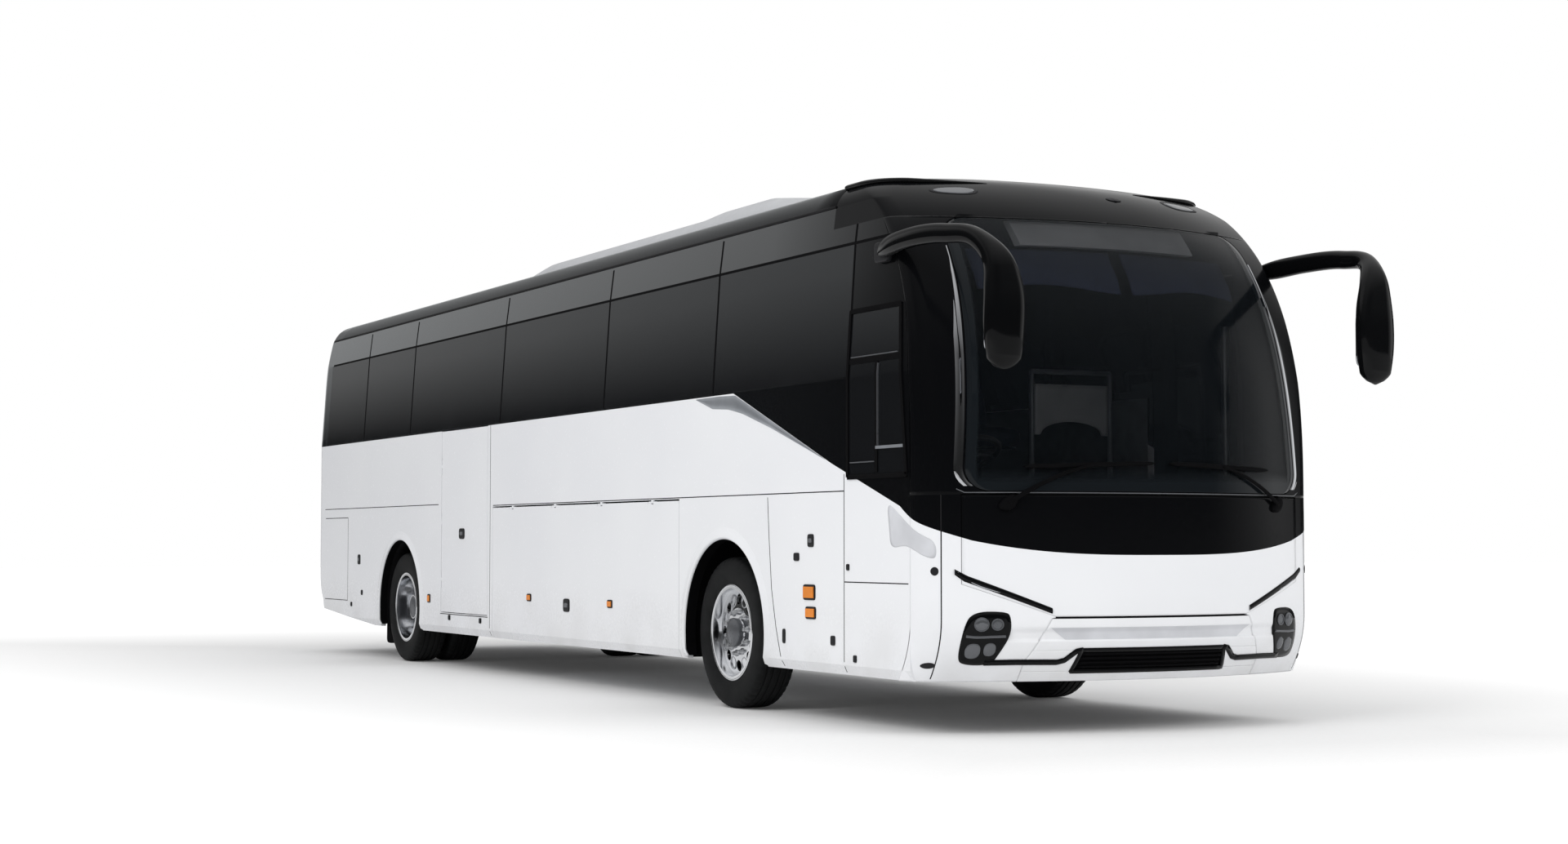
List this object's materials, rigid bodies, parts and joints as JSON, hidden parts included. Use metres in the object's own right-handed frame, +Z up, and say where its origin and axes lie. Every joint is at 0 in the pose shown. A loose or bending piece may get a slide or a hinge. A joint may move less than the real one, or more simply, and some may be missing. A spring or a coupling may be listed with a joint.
{
  "type": "electric intercity coach",
  "caption": "Single-deck electric coach with raised floor, dark glazed upper half, white lower panels, roof pod, wing mirrors, opening door, bay doors and steered front wheels.",
  "frame": {"origin": "on the road under the middle of the overall box, mirrors included", "axes": "+X forward, +Y to the left of travel, +Z up"},
  "size_m": [12.4688, 2.7054, 3.231],
  "materials": {
    "body_white": "gloss",
    "body_black": "gloss",
    "pod_grey": "satin",
    "frame_dark": "matt",
    "steel": "satin",
    "alloy": "polished",
    "tyre": "matt",
    "rubber": "matt",
    "trim_black": "matt",
    "trim_grey": "satin",
    "lamp_clear": "gloss",
    "lamp_amber": "gloss",
    "lamp_red": "gloss",
    "tinted_glass": "gloss",
    "clear_glass": "gloss",
    "cloth": "matt",
    "cast": "matt"
  },
  "bodies": {
    "body": {"skirt_right": "body_white", "skirt_left": "body_white", "front_mask": "body_white", "front_lid": "body_white", "front_bumper": "body_white", "rear_wall": "body_white", "rear_surround": "body_white", "side_frame_right": "body_black", "side_frame_left": "body_black", "roof": "body_black", "front_header": "body_black", "roof_pod": "pod_grey", "chassis_frame": "frame_dark", "battery_pack": "frame_dark", "drive_motor": "frame_dark", "front_axle": "cast", "rear_axle": "cast", "door_post": "steel", "luggage_bay": "steel", "air_springs": "rubber", "front_grille": "trim_black", "wipers": "trim_black", "mirror_right": "trim_black", "mirror_left": "trim_black", "dashboard": "trim_black", "steering_wheel": "trim_black", "floor_deck": "trim_grey", "entry_steps": "trim_grey", "sign_box": "trim_grey", "front_lamps": "lamp_clear", "marker_lamps": "lamp_amber", "tail_lamps": "lamp_red", "side_glass_right": "tinted_glass", "side_glass_left": "tinted_glass", "rear_window": "tinted_glass", "windscreen": "clear_glass", "seats": "cloth"},
    "knuckle_right": {"knuckle_right": "cast"},
    "knuckle_left": {"knuckle_left": "cast"},
    "tie_rod": {"tie_rod": "steel"},
    "front_wheel_right": {"front_tyre_right": "tyre", "front_rim_right": "alloy"},
    "front_wheel_left": {"front_tyre_left": "tyre", "front_rim_left": "alloy"},
    "rear_wheel_right": {"rear_tyres_right": "tyre", "rear_rims_right": "alloy"},
    "rear_wheel_left": {"rear_tyres_left": "tyre", "rear_rims_left": "alloy"},
    "door_arm": {"door_arm": "frame_dark"},
    "passenger_door": {"passenger_door": "body_black", "passenger_door_glass": "tinted_glass"},
    "luggage_door_right": {"luggage_door_right": "body_white", "bay_markers_right": "lamp_amber"},
    "luggage_door_left": {"luggage_door_left": "body_white", "bay_markers_left": "lamp_amber"},
    "battery_bay_door": {"battery_bay_door": "body_white"},
    "motor_bay_door": {"motor_bay_door": "body_white"}
  },
  "joints": [
    {"name": "steer_right", "type": "hinge", "parent": "body", "child": "knuckle_right", "pos_m": [2.945, -0.9425, 0.465], "axis": [0, 0, 1], "range_deg": [-38, 38]},
    {"name": "steer_left", "type": "hinge", "parent": "body", "child": "knuckle_left", "pos_m": [2.945, 0.9425, 0.465], "axis": [0, 0, 1], "range_deg": [-38, 38]},
    {"name": "tie_rod_pivot", "type": "hinge", "parent": "knuckle_right", "child": "tie_rod", "pos_m": [2.725, -0.9425, 0.3], "axis": [0, 0, 1], "range_deg": [-38, 38]},
    {"name": "spin_front_right", "type": "hinge", "parent": "knuckle_right", "child": "front_wheel_right", "pos_m": [2.945, -1.0925, 0.465], "axis": [0, 1, 0], "continuous": true},
    {"name": "spin_front_left", "type": "hinge", "parent": "knuckle_left", "child": "front_wheel_left", "pos_m": [2.945, 1.0925, 0.465], "axis": [0, 1, 0], "continuous": true},
    {"name": "spin_rear_right", "type": "hinge", "parent": "body", "child": "rear_wheel_right", "pos_m": [-3.585, -1.0925, 0.465], "axis": [0, 1, 0], "continuous": true},
    {"name": "spin_rear_left", "type": "hinge", "parent": "body", "child": "rear_wheel_left", "pos_m": [-3.585, 1.0925, 0.465], "axis": [0, 1, 0], "continuous": true},
    {"name": "door_swing", "type": "hinge", "parent": "body", "child": "door_arm", "pos_m": [4.805, 1.159, 1.28], "axis": [0, 0, -1], "range_deg": [0, 110]},
    {"name": "door_leaf_turn", "type": "hinge", "parent": "door_arm", "child": "passenger_door", "pos_m": [4.24807, 1.10046, 1.28], "axis": [0, 0, -1], "range_deg": [-110, 0]},
    {"name": "luggage_door_right_lift", "type": "hinge", "parent": "body", "child": "luggage_door_right", "pos_m": [0.5525, -1.267, 1.282], "axis": [-1, 0, 0], "range_deg": [0, 80]},
    {"name": "luggage_door_left_lift", "type": "hinge", "parent": "body", "child": "luggage_door_left", "pos_m": [0.5525, 1.267, 1.282], "axis": [1, 0, 0], "range_deg": [0, 80]},
    {"name": "battery_door_swing", "type": "hinge", "parent": "body", "child": "battery_bay_door", "pos_m": [-2.43, -1.267, 1.18], "axis": [0, 0, -1], "range_deg": [0, 95]},
    {"name": "motor_door_lift", "type": "hinge", "parent": "body", "child": "motor_bay_door", "pos_m": [-6.227, 0, 1.705], "axis": [0, 1, 0], "range_deg": [0, 80]}
  ],
  "couplings": [
    {"joint": "steer_left", "follows": "steer_right", "ratio": 1},
    {"joint": "tie_rod_pivot", "follows": "steer_right", "ratio": -1},
    {"joint": "door_leaf_turn", "follows": "door_swing", "ratio": -1}
  ]
}
